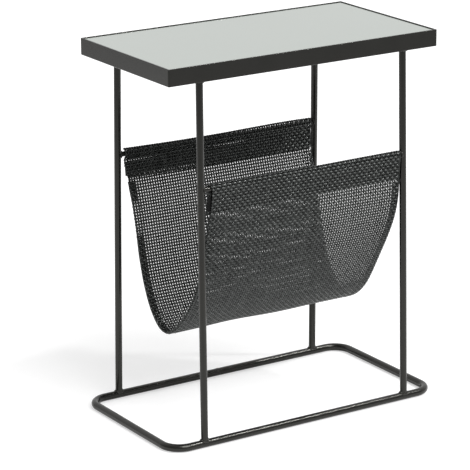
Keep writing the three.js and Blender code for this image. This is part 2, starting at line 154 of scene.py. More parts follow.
def lathe(profile, sides):
    """A closed body from an (r, z) profile whose ends lie on the axis."""
    verts, faces, rows = [], [], []
    for r, z in profile:
        if r < 1e-6:
            rows.append([len(verts)])
            verts.append((0, 0, z))
        else:
            rows.append(list(range(len(verts), len(verts) + sides)))
            for k in range(sides):
                angle = 2 * math.pi * k / sides
                verts.append((r * math.cos(angle), r * math.sin(angle), z))
    for a, b in zip(rows[:-1], rows[1:]):
        for k in range(sides):
            l = (k + 1) % sides
            if len(a) == 1:
                faces.append((a[0], b[l], b[k]))
            elif len(b) == 1:
                faces.append((a[k], a[l], b[0]))
            else:
                faces.append((a[k], a[l], b[l], b[k]))
    return np.array(verts, float), faces


def circle(sides, offset=0.0):
    """Cosines and sines round a turn; the offset is a share of one side."""
    angle = (np.arange(sides) + offset) / sides * 2 * math.pi
    return np.cos(angle), np.sin(angle)


def sweep(centre, cos_axis, sin_axis, sides, offset=0.0):
    """Ellipses round the centres (..., 3), spanned by two half-axes: (..., sides, 3)."""
    cos, sin = circle(sides, offset)
    return (
        centre[..., None, :]
        + cos[:, None] * cos_axis[..., None, :]
        + sin[:, None] * sin_axis[..., None, :]
    )


def unit(vectors):
    return vectors / np.linalg.norm(vectors, axis=-1, keepdims=True)


def square_to(vectors, tangent):
    """The vectors' unit part at right angles to unit tangents."""
    return unit(vectors - (vectors * tangent).sum(-1)[..., None] * tangent)


def loop_tangents(path):
    return unit(np.roll(path, -1, 0) - np.roll(path, 1, 0))


def smooth_noise(count, waves, seed):
    """A seeded wavy closed row in about [-1, 1]."""
    draw = np.random.RandomState(seed)
    turn = np.arange(count) / count * 2 * math.pi
    out = np.zeros(count)
    for k in range(1, waves + 1):
        out += np.sin(k * turn + draw.rand() * 6.283) * draw.rand() / math.sqrt(k)
    return out / max(1e-9, np.abs(out).max())


def round_rect(half_x, half_y, radius, steps):
    """steps + 1 points (x, y) on each corner, anticlockwise from the right-back corner."""
    out = []
    for sx, sy, start in ((1, 1, 0), (-1, 1, 90), (-1, -1, 180), (1, -1, 270)):
        out += arc(
            sx * (half_x - radius), sy * (half_y - radius), radius, start, start + 90, steps
        )
    return out


def arc(x, y, radius, start, end, steps):
    """Points on an arc round (x, y), from the start to the end angle in degrees."""
    angles = [math.radians(start + (end - start) * i / steps) for i in range(steps + 1)]
    return [(x + radius * math.cos(a), y + radius * math.sin(a)) for a in angles]


def support(loop, inset, longer):
    """Adds a point near each end of the straights, so that only the roundings shade round."""
    out = []
    for i, start in enumerate(loop):
        end = loop[(i + 1) % len(loop)]
        out.append(tuple(start))
        length = math.dist(start, end)
        if length > longer:
            for share in (inset / length, 1 - inset / length):
                out.append(tuple(a + (b - a) * share for a, b in zip(start, end)))
    return out


def level_ring(half_x, half_y, radius, z):
    """A rounded rectangle at height z."""
    loop = support(round_rect(half_x, half_y, radius, steps=6), inset=1.5, longer=30)
    return [(x, y, z) for x, y in loop]


# ------------------------------------------------------------------ materials
class Shader:
    """Short ways to build a node tree round its closure node."""

    def __init__(self, tree, closure):
        self.tree = tree
        self.closure = tree.nodes[closure]
        self.coordinates = self.node("TexCoord").outputs
        self.place = self.coordinates["Object"]

    def fill(self, node, inputs):
        """Link sockets to, or set plain values on, a node's inputs."""
        for key, value in inputs.items():
            if isinstance(value, bpy.types.NodeSocket):
                self.tree.links.new(value, node.inputs[key])
            else:
                node.inputs[key].default_value = value

    def set(self, inputs):
        self.fill(self.closure, inputs)

    def node(self, kind, inputs={}, **settings):
        node = self.tree.nodes.new("ShaderNode" + kind)
        for key, value in settings.items():
            setattr(node, key, value)
        self.fill(node, inputs)
        return node

    def stretched(self, scale):
        place = self.node("TexCoord").outputs["Object"]
        return self.node("Mapping", {"Scale": scale, "Vector": place}).outputs["Vector"]

    def noise(self, scale, detail=2.0, roughness=0.5, place=None):
        inputs = {"Scale": scale, "Detail": detail, "Roughness": roughness}
        inputs["Vector"] = self.place if place is None else place
        return self.node("TexNoise", inputs).outputs["Fac"]

    def ramp(self, factor, dark, light, start=0.3, end=0.7):
        node = self.node("ValToRGB", {"Fac": factor})
        stops = node.color_ramp.elements
        stops[0].position, stops[1].position = start, end
        stops[0].color, stops[1].color = (*dark, 1), (*light, 1)
        return node.outputs["Color"]

    def rescale(self, value, low, high, start=0.25, end=0.75, curve="LINEAR"):
        """Maps start..end of the value onto low..high."""
        inputs = {"From Min": start, "From Max": end, "To Min": low, "To Max": high}
        inputs["Value"] = value
        return self.node("MapRange", inputs, interpolation_type=curve).outputs["Result"]

    def math(self, operation, *values):
        return self.node("Math", dict(enumerate(values)), operation=operation).outputs[0]

    def mix(self, kind, factor, a, b):
        node = self.node("Mix", {"Factor": factor, "A": a, "B": b}, data_type=kind)
        return node.outputs["Result"]

    def bump(self, height, distance, strength=1.0, under=None):
        inputs = {"Distance": distance, "Strength": strength, "Height": height}
        if under is not None:
            inputs["Normal"] = under
        return self.node("Bump", inputs).outputs["Normal"]


class Material(Shader):
    def __init__(self, name):
        self.material = bpy.data.materials.new(name)
        self.material.use_nodes = True
        super().__init__(self.material.node_tree, "Principled BSDF")


def mitre_line(mat):
    """1 on a faint ground weld line along each 45 degree joint of the rim, 0 away from it."""
    x, y, _ = mat.node("SeparateXYZ", {0: mat.place}).outputs
    x, y = mat.math("ABSOLUTE", x), mat.math("ABSOLUTE", y)
    from_end = mat.math("SUBTRACT", HALF_L * MM, x)
    from_side = mat.math("SUBTRACT", HALF_W * MM, y)
    distance = mat.math("SUBTRACT", from_end, from_side)
    centred = mat.math("SUBTRACT", mat.noise(scale=300, detail=2), 0.5)
    wobble_width = 0.0012
    wobble = mat.math("MULTIPLY", centred, wobble_width)
    distance = mat.math("ABSOLUTE", mat.math("ADD", distance, wobble))
    return mat.rescale(distance, low=1.0, high=0.0, start=0.0, end=0.0011, curve="SMOOTHSTEP")


def powder_coat(name, light=(0.0065, 0.0063, 0.0058), mitre=False, weld=False):
    """Black powder coat: faint orange peel, a fine satin grain and slightly uneven gloss."""
    mat = Material(name)
    tone = mat.noise(scale=26, detail=3)
    mat.set({"Base Color": mat.ramp(tone, dark=(0.0035, 0.0034, 0.0031), light=light)})
    gloss = mat.noise(scale=55, detail=4, roughness=0.6)
    mat.set({"Roughness": mat.rescale(gloss, low=0.17, high=0.25)})
    peel = mat.noise(scale=620, detail=2, roughness=0.4)
    grain = mat.noise(scale=2600, detail=1)
    normal = mat.bump(peel, distance=0.00006)
    normal = mat.bump(grain, distance=0.000012, under=normal)
    if weld:
        lumps = mat.noise(scale=900, detail=3, roughness=0.7)
        normal = mat.bump(lumps, distance=0.0005, under=normal)
    if mitre:
        normal = mat.bump(mitre_line(mat), distance=0.00012, under=normal)
    mat.set({
        "Normal": normal,
        "Specular IOR Level": 0.5,
        "Specular Tint": (1.0, 0.995, 0.93, 1),
    })
    return mat.material


def glass_material():
    """Back-painted float glass: a pale grey-green face, greener at the ground edge."""
    mat = Material("glass_pale")
    normal = mat.node("NewGeometry").outputs["Normal"]
    normal_z = mat.node("SeparateXYZ", {0: normal}).outputs[2]
    facing_up = mat.rescale(normal_z, low=0.0, high=1.0, start=0.55, end=0.95)
    face = mat.ramp(
        mat.noise(scale=3.0, detail=2), dark=(0.318, 0.351, 0.320), light=(0.330, 0.363, 0.332)
    )
    edge = mat.ramp(
        mat.noise(scale=90, detail=3), dark=(0.10, 0.20, 0.165), light=(0.16, 0.28, 0.235)
    )
    mat.set({"Base Color": mat.mix("RGBA", facing_up, edge, face)})
    smear = mat.noise(scale=7, detail=5, roughness=0.6, place=mat.stretched((1, 2.4, 1)))
    mat.set({
        "Roughness": mat.rescale(smear, low=0.10, high=0.16),
        "Coat Weight": 0.35,
        "Coat Roughness": 0.04,
        "IOR": 1.5,
    })
    roller = mat.noise(scale=22, detail=1, place=mat.stretched((1, 0.2, 1)))
    mat.set({"Normal": mat.bump(roller, distance=0.00004, strength=0.4)})
    return mat.material


def board_material():
    """Dark sealed fibreboard."""
    mat = Material("board_sealed")
    fibre = mat.noise(scale=420, detail=4, roughness=0.65, place=mat.stretched((0.35, 1, 1)))
    mat.set({
        "Base Color": mat.ramp(fibre, dark=(0.016, 0.0145, 0.013), light=(0.034, 0.030, 0.026)),
        "Roughness": mat.rescale(mat.noise(scale=60, detail=3), low=0.62, high=0.8),
        "Normal": mat.bump(fibre, distance=0.00008, strength=0.7),
    })
    return mat.material


def bumper_material():
    """Clear rubber."""
    mat = Material("bumper_clear_rubber")
    tone = mat.noise(scale=300, detail=2)
    mat.set({
        "Base Color": mat.ramp(tone, dark=(0.62, 0.66, 0.64), light=(0.74, 0.77, 0.75)),
        "Roughness": mat.rescale(mat.noise(scale=900, detail=2), low=0.22, high=0.34),
        "Coat Weight": 0.4,
    })
    return mat.material


def screw_material():
    """Black zinc."""
    mat = Material("screw_black_zinc")
    tone = mat.noise(scale=240, detail=3)
    mat.set({
        "Base Color": mat.ramp(tone, dark=(0.045, 0.045, 0.048), light=(0.085, 0.083, 0.082)),
        "Roughness": mat.rescale(mat.noise(scale=700, detail=3), low=0.28, high=0.46),
        "Metallic": 0.85,
        "Normal": mat.bump(mat.noise(scale=1500, detail=2), distance=0.00003, strength=0.6),
    })
    return mat.material


def yarn_material():
    """Coated mesh yarn: a tone for each strand, which also carries painted highlight on the weft
    crowns and painted shade on the warps and in the valleys, a satin coat and fine draw lines.
    """
    mat = Material("mesh_yarn_black")
    # the tone attribute mixes each strand's random tone with painted light: painted highlight on the
    # weft crowns, painted shade on the warps and in the valleys
    tone = mat.node("Attribute", attribute_name="tone").outputs["Fac"]
    spots = mat.noise(scale=130, detail=2)
    tone_share, spot_share = 0.6, 0.4
    blend = mat.math(
        "ADD", mat.math("MULTIPLY", tone, tone_share), mat.math("MULTIPLY", spots, spot_share)
    )
    dark, light = (0.0045, 0.0050, 0.0047), (0.0095, 0.0104, 0.0099)
    mat.set({
        "Base Color": mat.ramp(blend, dark=dark, light=light, start=0.15, end=0.85),
        "Roughness": mat.rescale(mat.noise(scale=400, detail=2), low=0.22, high=0.33),
        "Normal": mat.bump(mat.noise(scale=1800, detail=2), distance=0.00008, strength=0.8),
        # the specular level follows the same painted light, so the painted crown highlights also
        # reflect more
        "Specular IOR Level": mat.rescale(blend, low=0.26, high=1.2),
        "Specular Tint": (0.955, 1.0, 0.97, 1),
    })
    return mat.material


def tape_material():
    """Hook-and-loop tape: dull black pile."""
    mat = Material("closure_tape_black")
    pile = mat.node("TexVoronoi", {"Scale": 900, "Vector": mat.place}).outputs["Distance"]
    tone = mat.noise(scale=700, detail=3)
    mat.set({
        "Base Color": mat.ramp(tone, dark=(0.0035, 0.0035, 0.0035), light=(0.009, 0.009, 0.0088)),
        "Roughness": mat.rescale(mat.noise(scale=200, detail=2), low=0.85, high=0.98),
        "Normal": mat.bump(pile, distance=0.0004, strength=0.9),
        "Specular IOR Level": 0.25,
    })
    return mat.material


def thread_material():
    """Twisted sewing thread."""
    mat = Material("thread_black")
    wave = {"Scale": 700, "Distortion": 1.5, "Vector": mat.place}
    twist = mat.node("TexWave", wave, bands_direction="DIAGONAL").outputs["Fac"]
    mat.set({
        "Base Color": mat.ramp(twist, dark=(0.010, 0.010, 0.010), light=(0.028, 0.028, 0.027)),
        "Roughness": mat.rescale(mat.noise(scale=500, detail=2), low=0.55, high=0.7),
        "Normal": mat.bump(twist, distance=0.0001, strength=0.8),
    })
    return mat.material


POWDER = powder_coat("powder_coat_black")
POWDER_RIM = powder_coat("powder_coat_black_rim", mitre=True)
POWDER_WELD = powder_coat("powder_coat_black_weld", light=(0.012, 0.0117, 0.011), weld=True)
GLASS = glass_material()
BOARD = board_material()
BUMPER = bumper_material()
SCREW = screw_material()
YARN = yarn_material()
TAPE = tape_material()
THREAD = thread_material()

# ------------------------------------------------------------------ tray rim: a ring of steel angle
EDGE_R, LIP_R, ROOT_R = 0.9, 0.55, 0.35  # flange edges and heel, top lip, inner root
RIM_CORNER_R = 1.7


def rim_section():
    """(inward, up) round the angle, with its rolled edges."""
    height = TABLE_H - RIM_Z
    root = RIM_T + ROOT_R
    section = (
        arc(EDGE_R, EDGE_R, EDGE_R, 180, 270, 4)
        + arc(FLANGE_W - EDGE_R, EDGE_R, EDGE_R, 270, 360, 4)
        + arc(FLANGE_W - EDGE_R, RIM_T - EDGE_R, EDGE_R, 0, 90, 4)
        + arc(root, root, ROOT_R, 270, 180, 3)
        + arc(RIM_T - LIP_R, height - LIP_R, LIP_R, 0, 90, 4)
        + arc(LIP_R, height - LIP_R, LIP_R, 90, 180, 4)
    )
    return support(section, inset=0.45, longer=1.5)


rim_rings = [
    level_ring(HALF_L - inward, HALF_W - inward, max(RIM_CORNER_R - inward, 0.35), RIM_Z + up)
    for inward, up in rim_section()
]
rim = mesh_object("rim", *skin(rim_rings, closed_path=True), POWDER_RIM, sharp=40)
add(rim, "frame", "powder_coat", "rim_front", "rim_back", "rim_left", "rim_right")


# ------------------------------------------------------------------ backing board and glass
def slab(name, node, corner, steps, material):
    """A plate filling a frame piece, with rounded corners and edges."""
    low, high = span(node)
    bottom, top = low[2], high[2]
    edge = 0.6
    profile = (  # (inset, z)
        [(edge + 2.5, bottom), (edge + 0.4, bottom)]
        + arc(edge, bottom + edge, edge, 270, 180, steps)
        + [(0, bottom + edge + 0.3), (0, top - edge - 0.3)]
        + arc(edge, top - edge, edge, 180, 90, steps)
        + [(edge + 0.4, top), (edge + 2.5, top)]
    )
    stack = [
        level_ring(high[0] - inset, high[1] - inset, max(corner - inset, 0.2), z)
        for inset, z in profile
    ]
    return mesh_object(name, *skin(stack), material, sharp=50)


board = slab("backing_board_sealed", "backing_board", corner=1.0, steps=3, material=BOARD)
add(board, "frame", "board", "backing_board")
glass = slab("glass_top_plate", "glass_top", corner=2.2, steps=2, material=GLASS)
add(glass, "glass", "glass", "glass_top")


# ------------------------------------------------------------------ bumpers
def build_bumper(where):
    low, high = span("glass_bumper_" + where)
    centre, radius, height = (low + high) / 2, (high[0] - low[0]) / 2, high[2] - low[2]
    profile = [(0, 0), (radius * 0.8, 0), (radius, 0.12)]
    for angle in (0.2, 0.6, 1.0, 1.35):
        r = radius * (0.93 + 0.07 * math.cos(angle))
        profile.append((r, height * (0.25 + 0.6 * math.sin(angle))))
    profile += [(radius * 0.72, height * 0.985), (radius * 0.35, height), (0, height)]
    verts, faces = lathe(profile, sides=40)
    verts += (centre[0], centre[1], low[2])
    bumper = mesh_object("bumper_" + where, verts, faces, BUMPER, sharp=50)
    add(bumper, "frame", "bumper", "glass_bumper_" + where)


for column in ("left", "middle", "right"):
    for row in ("front", "back"):
        build_bumper(column + "_" + row)

# ------------------------------------------------------------------ screws
SCREW_HEAD_R, SCREW_HEAD_H = 3.6, 2.2
THREAD_R, THREAD_CORE_R, THREAD_TURNS = 1.7, 1.35, 13  # the thread's pitch is 1 mm
SLOT_L, SLOT_W, SLOT_H, SLOT_TAPER = 4.0, 0.85, 2.6, 0.55
HEAD_Z = RIM_Z - SCREW_HEAD_H
HEAD_PROFILE = (  # share of the head's radius, height above its lowest point
    (0, 0), (0.45, 0.02), (0.68, 0.16), (0.86, 0.5), (0.965, 1.0),
    (1, 1.55), (0.985, 2.05), (0.95, 2.15),
)
SCREW_TURNS = {  # how far each cross recess is turned, degrees
    "left_front": 18, "left_back": 63, "right_front": -27,
    "right_back": 40, "left_end": 8, "right_end": -14,
}


def slot_cutter(centre, turn):
    """A tapering block for one bar of the cross recess."""
    bm = bmesh.new()
    bmesh.ops.create_cube(bm, size=1)
    for vert in bm.verts:
        taper = 1.0 if vert.co.z < 0 else SLOT_TAPER
        x, y, z = vert.co.x * SLOT_L * taper, vert.co.y * SLOT_W, vert.co.z * SLOT_H
        vert.co = Vector((
            (centre[0] + x * math.cos(turn) - y * math.sin(turn)) * MM,
            (centre[1] + x * math.sin(turn) + y * math.cos(turn)) * MM,
            (HEAD_Z + 0.1 + z) * MM,
        ))
    mesh = bpy.data.meshes.new("cut")
    bm.to_mesh(mesh)
    bm.free()
    return link("cut", mesh)


def build_screw(where, turn):
    low, high = span("board_screw_" + where)
    centre = (low + high) / 2
    profile = [(SCREW_HEAD_R * share, HEAD_Z + z) for share, z in HEAD_PROFILE]
    profile.append((THREAD_R, HEAD_Z + 2.15))
    for k in range(THREAD_TURNS):
        z = RIM_Z + k
        profile += [(THREAD_CORE_R, z + 0.1), (THREAD_R, z + 0.5), (THREAD_CORE_R, z + 0.9)]
    profile += [(0.9, RIM_Z + 12.6), (0, RIM_Z + 13.0)]
    verts, faces = lathe(profile, sides=32)
    verts[:, :2] += centre[:2]
    screw = mesh_object("screw_" + where, verts, faces, SCREW, sharp=40)
    cutters = []
    for k in range(2):
        cutter = slot_cutter(centre, turn + k * math.pi / 2)
        cutters.append(cutter)
        recess = screw.modifiers.new("recess%d" % k, "BOOLEAN")
        recess.operation, recess.solver, recess.object = "DIFFERENCE", "EXACT", cutter
    bpy.context.view_layer.update()
    graph = bpy.context.evaluated_depsgraph_get()
    mesh = bpy.data.meshes.new_from_object(screw.evaluated_get(graph), depsgraph=graph)
    screw.modifiers.clear()
    screw.data = mesh
    mesh.shade_smooth()
    mesh.set_sharp_from_angle(angle=math.radians(35))
    for cutter in cutters:
        bpy.data.objects.remove(cutter)
    add(screw, "frame", "screw", "board_screw_" + where)


for where, degrees in SCREW_TURNS.items():
    build_screw(where, math.radians(degrees))

# ------------------------------------------------------------------ foot loop
FOOT_SIDES, BEND_STEPS = 36, 20
BUTT_WELD_X = (  # closely spaced rings round the butt weld in the middle of the back
    60, 8, 4, 2.6, 1.8, 1.1, 0.5, 0, -0.5, -1.1, -1.8, -2.6, -4, -8, -60,
)
BUTT_WELD_H, BUTT_WELD_W = 0.32, 1.5


def foot_path():
    corners = round_rect(FOOT_X, FOOT_Y, FOOT_BEND, BEND_STEPS)
    weld = [(x, FOOT_Y) for x in BUTT_WELD_X]
    plan = corners[: BEND_STEPS + 1] + weld + corners[BEND_STEPS + 1 :]
    return np.array([(x, y, FOOT_R) for x, y in plan], float)


def foot_radii(path):
    """The bar's radius at each station and side: it swells at the weld, but not underneath."""
    radii = np.full((len(path), FOOT_SIDES), FOOT_R)
    under = circle(FOOT_SIDES)[1] < -0.6
    for i, (x, y, _) in enumerate(path):
        if y > FOOT_Y - 0.01 and abs(x) < 5:
            swell = math.exp(-((x / BUTT_WELD_W) ** 2)) * BUTT_WELD_H
            lumps = smooth_noise(FOOT_SIDES, waves=9, seed=5 + int(abs(x * 10)))
            radii[i] += swell * (1 + 0.35 * lumps)
            radii[i][under] = np.minimum(radii[i][under], FOOT_R)
    return radii


def build_foot_loop():
    path = foot_path()
    tangent = loop_tangents(path)
    sideways = unit(np.cross(tangent, (0.0, 0.0, 1.0)))
    ring = sweep(np.zeros(3), sideways, np.cross(sideways, tangent), FOOT_SIDES)
    stack = path[:, None, :] + foot_radii(path)[:, :, None] * ring
    verts, faces = skin(stack, closed_path=True)
    verts[:, 2] = np.maximum(verts[:, 2], 0.0)
    loop = mesh_object("foot_loop_bar", verts, faces, POWDER)
    add(loop, "frame", "powder_coat", "foot_loop")


build_foot_loop()

# ------------------------------------------------------------------ legs, rods and welds
X_AXIS, Y_AXIS, Z_AXIS = np.eye(3)
BEAD_STATIONS, BEAD_SIDES = 96, 14
BEAD_COS, BEAD_SIN = circle(BEAD_STATIONS)
BEAD_ONES = np.ones(BEAD_STATIONS)
LEG_BOW = 0.21  # a drawn bar is never quite straight


def bead_rings(seam, size, seed, lean):
    """A lumpy, rippled tube along a closed seam; lean is the way it bulges at each station."""
    count = len(seam)
    ripples = 0.13 * np.sin(np.arange(count) / count * 2 * math.pi * 15 + seed)
    radius = size * (1 + ripples + 0.14 * smooth_noise(count, waves=7, seed=seed))[:, None]
    tangent = loop_tangents(seam)
    out = square_to(lean, tangent)
    return sweep(seam, 0.72 * radius * out, radius * np.cross(tangent, out), BEAD_SIDES)


def add_bead(name, node, stack):
    bead = mesh_object(name, *skin(stack, closed_path=True), POWDER_WELD)
    add(bead, "frame", "powder_coat", node)


def build_leg(where, bow):
    z = np.concatenate([[FOOT_R + 1.5], np.linspace(FOOT_R + 14, LEG_TOP - 6, 13), [LEG_TOP]])
    centres = np.array([(*leg_at(where, height), height) for height in z])
    centres[:, 0] += bow * np.sin((z - z[0]) / (z[-1] - z[0]) * math.pi)
    stack = sweep(centres, LEG_R * X_AXIS, LEG_R * Y_AXIS, sides=40)
    leg = mesh_object("leg_bar_" + where, *skin(stack), POWDER, sharp=50)
    add(leg, "frame", "powder_coat", "leg_" + where)


def weld_leg_top(where, seed):
    """Bead under the tray, kept flush with the tray's sides."""
    x, y = leg_at(where, LEG_TOP)
    reach = LEG_R + 0.9
    seam = np.stack([x + reach * BEAD_COS, y + reach * BEAD_SIN, (LEG_TOP - 0.6) * BEAD_ONES], 1)
    lean = np.stack([BEAD_COS, BEAD_SIN, -BEAD_ONES], 1)
    stack = bead_rings(seam, size=1.9, seed=seed, lean=lean)
    stack[:, :, 1] = np.clip(stack[:, :, 1], -HALF_W + 0.02, HALF_W - 0.02)
    stack[:, :, 2] = np.minimum(stack[:, :, 2], LEG_TOP)
    add_bead("weld_top_" + where, "leg_top_weld_" + where, stack)


def weld_leg_foot(where, seed):
    """Saddle bead on the foot loop, kept to the bar's width."""
    x, y = leg_at(where, FOOT_R)
    reach = LEG_R + 0.6
    aside = np.clip(reach * BEAD_SIN, -5.3, 5.3)
    height = FOOT_R + np.sqrt((FOOT_R + 0.45) ** 2 - aside**2)
    seam = np.stack([x + reach * BEAD_COS, y + aside, height], 1)
    lean = np.stack([BEAD_COS, 0.6 * BEAD_SIN, 0.9 * BEAD_ONES], 1)
    stack = bead_rings(seam, size=1.75, seed=seed, lean=lean)
    stack[:, :, 1] = np.clip(stack[:, :, 1], y - FOOT_R - 0.15, y + FOOT_R + 0.15)
    add_bead("weld_foot_" + where, "leg_foot_weld_" + where, stack)


def build_rod(where, y):
    x = np.linspace(-LEG_X + 2, LEG_X - 2, 21)
    centres = np.stack([x, np.full(21, y), np.full(21, ROD_Z)], 1)
    stack = sweep(centres, ROD_R * Y_AXIS, ROD_R * Z_AXIS, sides=32)
    rod = mesh_object("rod_" + where, *skin(stack), POWDER, sharp=50)
    add(rod, "frame", "powder_coat", "sling_rod_" + where)


def weld_rod(where, y, side, seed):
    """Bead where a rod meets the inner face of a leg; side is -1 left, 1 right."""
    aside, height = (ROD_R + 0.9) * BEAD_COS, (ROD_R + 0.8) * BEAD_SIN
    x = side * (LEG_X - np.sqrt((LEG_R + 0.3) ** 2 - aside**2))
    seam = np.stack([x, y + aside, ROD_Z + height], 1)
    lean = np.stack([-side * 0.9 * BEAD_ONES, BEAD_COS, BEAD_SIN], 1)
    stack = bead_rings(seam, size=1.6, seed=seed, lean=lean)
    add_bead("weld_rod_" + where, "rod_weld_" + where, stack)


for k, where in enumerate(LEGS):
    build_leg(where, bow=LEG_BOW if k % 2 else -LEG_BOW)
    weld_leg_top(where, seed=11 + k)
    weld_leg_foot(where, seed=31 + k)

for where, sy in (("front", -1), ("back", 1)):
    build_rod(where, sy * ROD_Y)
    for side, sx in (("left", -1), ("right", 1)):
        weld_rod(where + "_" + side, sy * ROD_Y, sx, seed=51 + sy * 3 + sx)

# ------------------------------------------------------------------ the sling's surface
# The cloth runs from the front flap's lower edge over the front rod, down the front sheet, up
# the back one, over the back rod and down its flap. "run" is the length along that path.
# "side" is -1 at the front and 1 at the back.
CLOTH_X0, CLOTH_X1 = -166.0, 174.5
WIDTH = CLOTH_X1 - CLOTH_X0
CLOTH_T = 1.4
SLEEVE_R = 5.2
FLAP_END_Z, FLAP_TOP_Z = 359.5, 391.5
# How far the cloth lies off the sheet's left and right edges, for each side: points counted
# from the flap's lower edge (0) to the outer layer (19), and the shift along X at them.
FLAP_SHIFT = {
    -1: (((0, 12.5, 19), (-6.8, -4.5, 0)), ((0, 19), (0, 0))),
    1: (((0, 2, 4, 12.5, 19), (-1.5, -6, -7.5, -8, 0)), ((0, 12.5, 19), (0.8, 0.8, 0))),
}
TAPE_T, TAPE_GAP, TAPE_Z0, TAPE_Z1, TAPE_INSET = 1.0, 0.28, 364.2, 386.5, 1.5
TAPE_ROWS = (TAPE_Z0, 370.0, 378.0, TAPE_Z1)
# the sheet's left and right edges as (y, z), from the front sleeve down and up to the back one
SLING_LEFT = [
    [-119.1, 360.1], [-115.1, 343.9], [-111.1, 327.7], [-107.0, 311.5], [-102.7, 295.3],
    [-98.0, 279.3], [-92.6, 263.5], [-86.5, 248.0], [-79.5, 232.8], [-71.7, 218.1],
    [-63.0, 203.9], [-53.3, 190.3], [-42.8, 177.3], [-31.3, 165.2], [-18.9, 154.1],
    [-5.3, 144.4], [9.8, 137.5], [26.2, 139.1], [40.6, 147.4], [52.5, 159.1],
    [62.2, 172.6], [70.4, 187.2], [77.3, 202.4], [83.0, 218.1], [87.8, 234.1],
    [92.1, 250.2], [96.0, 266.4], [99.9, 282.6], [103.9, 298.9], [108.0, 315.0],
    [112.3, 331.2], [117.1, 347.2], [122.2, 363.0],
]
SLING_RIGHT = [
    [-122.7, 362.0], [-122.7, 345.2], [-120.7, 328.4], [-116.9, 312.0], [-111.5, 296.0],
    [-104.8, 280.6], [-97.1, 265.5], [-88.9, 250.8], [-80.4, 236.3], [-71.8, 221.8],
    [-63.3, 207.2], [-54.7, 192.7], [-45.3, 178.7], [-34.7, 165.6], [-22.5, 154.0],
    [-8.6, 144.5], [7.0, 138.2], [23.6, 139.0], [38.4, 146.9], [51.0, 158.0],
    [61.6, 171.2], [70.2, 185.6], [77.1, 201.0], [82.7, 216.9], [87.5, 233.1],
    [91.7, 249.4], [95.7, 265.8], [99.7, 282.2], [103.8, 298.5], [108.0, 314.8],
    [112.4, 331.1], [117.2, 347.3], [122.2, 363.4],
]
LAYER_SLACK = 1.03  # the sleeve's layers lie a little further apart than their thicknesses
FLAP_OFFSET = CLOTH_T + 2 * TAPE_T + 3 * TAPE_GAP
FLAP_POINTS, ARC_POINTS = len(TAPE_ROWS) + 2, 13
ARC_BEFORE, ARC_AFTER = 0.35, 0.25  # how far the arc on the rod goes past half a turn, radians


def outer_y(sheet, side, z):
    """y of the sleeve's outer layer, which carries the sheet on up to the rod."""
    end, inner = (sheet[0], sheet[1]) if side < 0 else (sheet[-1], sheet[-2])
    target = (side * (ROD_Y + SLEEVE_R * 0.99), ROD_Z - 1.5) if z >= end[1] else inner
    return end[0] + (z - end[1]) * (target[0] - end[0]) / (target[1] - end[1])


def sleeve(sheet, side):
    """(y, z) from the flap's lower edge, over the rod and down the outer layer."""
    offset = -side * FLAP_OFFSET * LAYER_SLACK
    line = [(outer_y(sheet, side, z) + offset, z) for z in (FLAP_END_Z, *TAPE_ROWS)]
    line.append((outer_y(sheet, side, FLAP_TOP_Z) + offset * 1.2, FLAP_TOP_Z))
    for i in range(ARC_POINTS):
        angle = -ARC_BEFORE + (i / (ARC_POINTS - 1)) * (math.pi + ARC_BEFORE + ARC_AFTER)
        y = side * ROD_Y - side * SLEEVE_R * math.cos(angle)
        line.append((y, ROD_Z + SLEEVE_R * math.sin(angle)))
    for z in TAPE_ROWS[::-1]:
        line.append((outer_y(sheet, side, z), z))
    return line


def whole(sheet):
    return np.array(sleeve(sheet, -1) + [tuple(p) for p in sheet] + sleeve(sheet, 1)[::-1], float)


def flap_shift(side, i):
    return [float(np.interp(i, *table)) for table in FLAP_SHIFT[side]]


def between(at, start, end, a, b):
    """Straight blend from a, where at is start, to b, where it is end."""
    return (end - at) / (end - start) * a + (at - start) / (end - start) * b


def catmull(points, per):
    """Centripetal Catmull-Rom through the points, per steps a span."""
    extended = np.vstack([2 * points[0] - points[1], points, 2 * points[-1] - points[-2]])
    out = []
    for i in range(len(points) - 1):
        p = extended[i : i + 4]
        t = [0.0]
        for a, b in zip(p[:-1], p[1:]):
            t.append(t[-1] + max(np.linalg.norm(b - a), 1e-6) ** 0.5)
        at = np.linspace(t[1], t[2], per, endpoint=False)[:, None]
        first, second, third = [between(at, t[k], t[k + 1], p[k], p[k + 1]) for k in range(3)]
        before = between(at, t[0], t[2], first, second)
        after = between(at, t[1], t[3], second, third)
        out.append(between(at, t[1], t[2], before, after))
    out.append(points[-1][None, :])
    return np.vstack(out)


PER = 12  # dense steps for each span of the outline
LINE_LEFT, LINE_RIGHT = whole(SLING_LEFT), whole(SLING_RIGHT)
LAST = len(LINE_LEFT) - 1
SKEW = np.array(
    [flap_shift(-1, i) if i < LAST / 2 else flap_shift(1, LAST - i) for i in range(LAST + 1)]
)
DENSE_LEFT, DENSE_RIGHT = catmull(LINE_LEFT, PER), catmull(LINE_RIGHT, PER)
dense_index = np.arange(len(DENSE_LEFT)) / PER
DENSE_SKEW = np.stack([np.interp(dense_index, np.arange(LAST + 1), SKEW[:, k]) for k in (0, 1)], -1)
DENSE_MID = (DENSE_LEFT + DENSE_RIGHT) / 2
steps = np.linalg.norm(np.diff(DENSE_MID, axis=0), axis=1)
DENSE_RUN = np.concatenate([[0], np.cumsum(steps)])
SLING_LEN = DENSE_RUN[-1]
SLEEVE_POINTS = FLAP_POINTS + ARC_POINTS + len(TAPE_ROWS)
SHEET_POINTS = len(SLING_LEFT)
SHEET_START = DENSE_RUN[SLEEVE_POINTS * PER]
SHEET_END = DENSE_RUN[(SLEEVE_POINTS + SHEET_POINTS - 1) * PER]


def lines_at(run):
    """Left edge (y, z), right edge (y, z) and (left, right) skew along X."""
    return [
        np.stack([np.interp(run, DENSE_RUN, table[:, k]) for k in (0, 1)], -1)
        for table in (DENSE_LEFT, DENSE_RIGHT, DENSE_SKEW)
    ]


def smoothstep(x, start, end):
    """0 before start and 1 past end; start may be the larger."""
    t = np.clip((x - start) / (end - start), 0, 1)
    return t * t * (3 - 2 * t)


